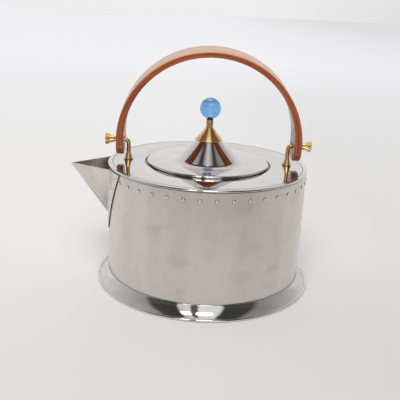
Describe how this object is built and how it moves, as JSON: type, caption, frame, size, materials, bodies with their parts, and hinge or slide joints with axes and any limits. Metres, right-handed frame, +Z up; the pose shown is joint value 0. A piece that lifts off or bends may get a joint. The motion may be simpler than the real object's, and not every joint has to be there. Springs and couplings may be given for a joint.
{
  "type": "stovetop kettle",
  "caption": "Round steel kettle with an open folded spout, a flared foot, a lift-off lid with a ball knob, and a bent wood bow handle that swings on brass pegs.",
  "frame": {"origin": "on the floor, at the body's axis, in the middle of the flat bottom", "axes": "+Z up the body's axis; +X from the spout towards the opposite side, through both brackets; the pegs' axis is parallel to X, and the handle leans towards -Y at rest"},
  "size_m": [0.2255, 0.2006, 0.2145],
  "materials": {
    "satin_steel": "satin, lightly stained",
    "polished_steel": "mirror polished",
    "plain_steel": "plain",
    "polished_brass": "polished",
    "bent_wood": "oiled, fine lines along the bend",
    "blue_glass": "clear blue, polished",
    "seat_rubber": "dark"
  },
  "bodies": {
    "kettle": {"base_pan": "polished_steel", "base_skirt": "polished_steel", "body_wall": "satin_steel", "deck": "polished_steel", "spout": "satin_steel", "rim_rivets": "polished_steel", "spout_rivets": "polished_steel", "foot_left": "polished_brass", "foot_right": "polished_brass", "bracket_left": "polished_brass", "bracket_right": "polished_brass", "deck_washers": "plain_steel", "deck_nuts": "polished_brass"},
    "handle": {"handle_bow": "bent_wood"},
    "nut_left": {"thumb_nut_left": "polished_brass"},
    "nut_right": {"thumb_nut_right": "polished_brass"},
    "lid": {"lid_shell": "polished_steel", "lid_spigot": "plain_steel", "knob_cone": "polished_brass", "knob_neck": "polished_brass", "ball_seat": "seat_rubber", "glass_ball": "blue_glass", "knob_stud": "polished_brass", "knob_washer": "plain_steel", "knob_nut": "plain_steel"}
  },
  "joints": [
    {"name": "handle_swing", "type": "hinge", "parent": "kettle", "child": "handle", "pos_m": [0, 0, 0.1289], "axis": [1, 0, 0], "range_deg": [-98.4, 84.8]},
    {"name": "lid_lift", "type": "slide", "parent": "kettle", "child": "lid", "axis": [0, 0, 1], "range_m": [0, 0.036]},
    {"name": "nut_left_turn", "type": "hinge", "parent": "kettle", "child": "nut_left", "pos_m": [-0.0835, 0, 0.1289], "axis": [-1, 0, 0], "range_deg": [0, 720]},
    {"name": "nut_right_turn", "type": "hinge", "parent": "kettle", "child": "nut_right", "pos_m": [0.0835, 0, 0.1289], "axis": [1, 0, 0], "range_deg": [0, 720]}
  ]
}
